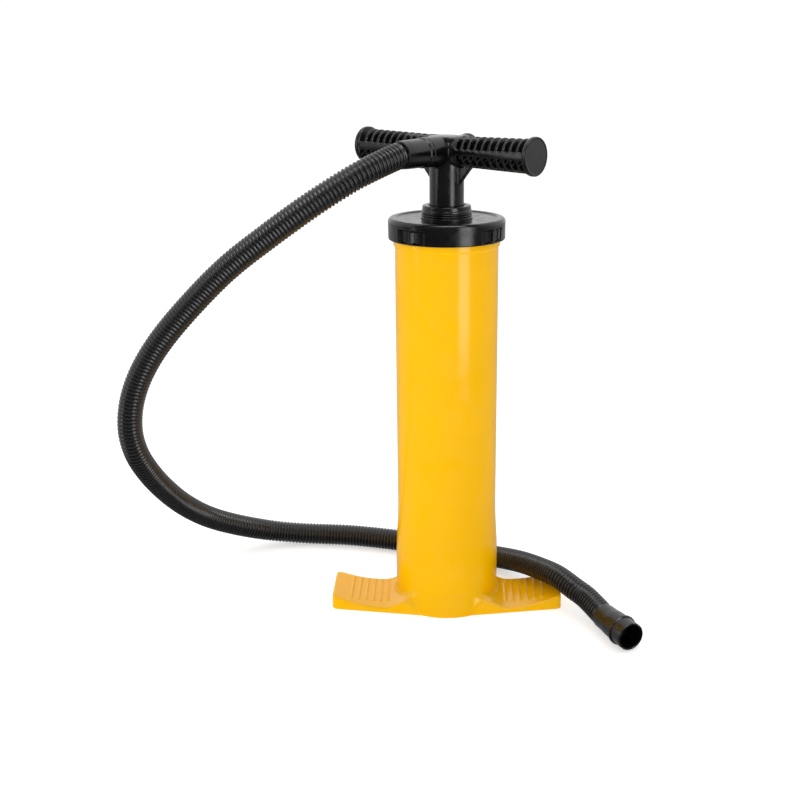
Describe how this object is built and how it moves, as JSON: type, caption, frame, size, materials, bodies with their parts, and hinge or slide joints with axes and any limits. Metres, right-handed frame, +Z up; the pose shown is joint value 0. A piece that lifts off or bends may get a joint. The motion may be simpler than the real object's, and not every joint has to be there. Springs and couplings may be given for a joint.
{
  "type": "double-action hand air pump",
  "caption": "Upright double-action air pump: round barrel on a winged foot plate, screw cap, T-handle on a piston rod, corrugated air hose from the hub.",
  "frame": {"origin": "on the floor at the barrel's axis", "axes": "+Z up along the barrel and the rod, X along the foot plate's two wings, -Y to the front"},
  "size_m": [0.506, 0.2707, 0.4775],
  "materials": {
    "yellow_plastic": "glossy moulded plastic",
    "black_plastic": "satin moulded plastic",
    "gloss_black": "polished moulded plastic",
    "hose_plastic": "flexible corrugated plastic, satin",
    "pale_plastic": "natural moulded plastic",
    "seal_rubber": "black rubber",
    "valve_rubber": "red rubber",
    "screw_steel": "zinc plated"
  },
  "bodies": {
    "barrel": {"foot_plate": "yellow_plastic", "base_plug": "black_plastic", "base_seal": "seal_rubber", "foot_screws": "screw_steel", "barrel_tube": "yellow_plastic", "top_cap": "black_plastic", "cap_gasket": "seal_rubber", "gland_collar": "black_plastic", "hose": "hose_plastic", "hose_end_cuff": "hose_plastic"},
    "guide": {"guide_bush": "pale_plastic", "rod_seal": "seal_rubber"},
    "rod": {"rod_outer_tube": "gloss_black", "rod_inner_tube": "pale_plastic", "inner_tube_seals": "seal_rubber", "piston_bottom_plate": "pale_plastic", "piston_core": "pale_plastic", "piston_top_plate": "pale_plastic", "piston_screws": "screw_steel", "lower_piston_ring": "seal_rubber", "upper_piston_ring": "seal_rubber", "buffer_washer": "seal_rubber", "handle": "black_plastic", "hub_cover": "gloss_black", "hose_handle_cuff": "hose_plastic"},
    "inlet_valve_upper": {"inlet_valve_upper": "valve_rubber"},
    "inlet_valve_lower": {"inlet_valve_lower": "valve_rubber"},
    "outlet_valve_upper": {"outlet_valve_upper": "valve_rubber"},
    "outlet_valve_lower": {"outlet_valve_lower": "valve_rubber"}
  },
  "joints": [
    {"name": "handle_turn", "type": "hinge", "parent": "barrel", "child": "guide", "pos_m": [0, 0, 0.4], "axis": [0, 0, 1], "range_deg": [-50, 39], "deforming": ["hose"]},
    {"name": "rod_slide", "type": "slide", "parent": "guide", "child": "rod", "axis": [0, 0, 1], "range_m": [0, 0.32], "deforming": ["hose"]},
    {"name": "inlet_valve_upper_lift", "type": "slide", "parent": "rod", "child": "inlet_valve_upper", "axis": [0, 0, 1], "range_m": [0, 0.0018], "stiffness_N_per_m": 20},
    {"name": "inlet_valve_lower_lift", "type": "slide", "parent": "rod", "child": "inlet_valve_lower", "axis": [0, 0, -1], "range_m": [0, 0.0018], "stiffness_N_per_m": 20},
    {"name": "outlet_valve_upper_lift", "type": "slide", "parent": "rod", "child": "outlet_valve_upper", "axis": [0, 0, -1], "range_m": [0, 0.0018], "stiffness_N_per_m": 20},
    {"name": "outlet_valve_lower_lift", "type": "slide", "parent": "rod", "child": "outlet_valve_lower", "axis": [0, 0, 1], "range_m": [0, 0.0018], "stiffness_N_per_m": 20}
  ]
}
